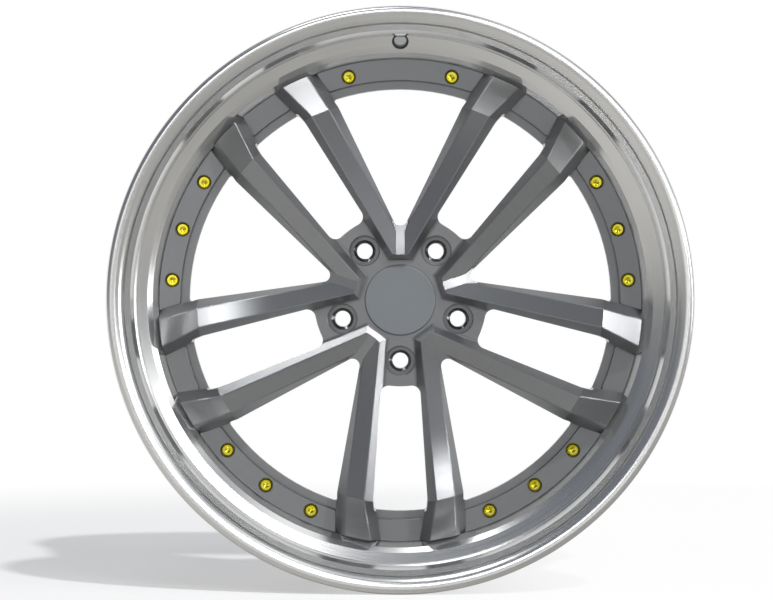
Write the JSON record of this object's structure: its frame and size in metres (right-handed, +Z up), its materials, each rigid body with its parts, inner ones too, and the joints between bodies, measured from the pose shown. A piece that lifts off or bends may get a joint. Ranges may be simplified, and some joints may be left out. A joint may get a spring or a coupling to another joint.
{
  "type": "split rim wheel",
  "caption": "Three-piece road wheel: deep polished lip and inner barrel half bolted to a brushed centre with V-shaped twin spokes, for fixing to a vehicle hub.",
  "frame": {"origin": "centre of the wheel: on the axle line, in the middle of the rim width", "axes": "+Y along the axle towards the vehicle, so the face looks to -Y; +Z up through the valve hole; +X to the right of someone facing the wheel"},
  "size_m": [0.543, 0.2634, 0.543],
  "materials": {
    "brushed_centre": "brushed, satin clear coat",
    "polished_lip": "polished",
    "turned_barrel": "turned",
    "sealant": "matt silicone",
    "gold_bolts": "gold plated",
    "steel_nuts": "zinc plated",
    "grey_cap": "satin",
    "spring_steel": "bare"
  },
  "bodies": {
    "root": {"centre_disc": "brushed_centre", "outer_rim_half": "polished_lip", "inner_rim_half": "turned_barrel", "joint_sealant": "sealant", "assembly_bolts": "gold_bolts", "assembly_nuts": "steel_nuts", "centre_cap": "grey_cap", "cap_spring_ring": "spring_steel"}
  },
  "joints": []
}
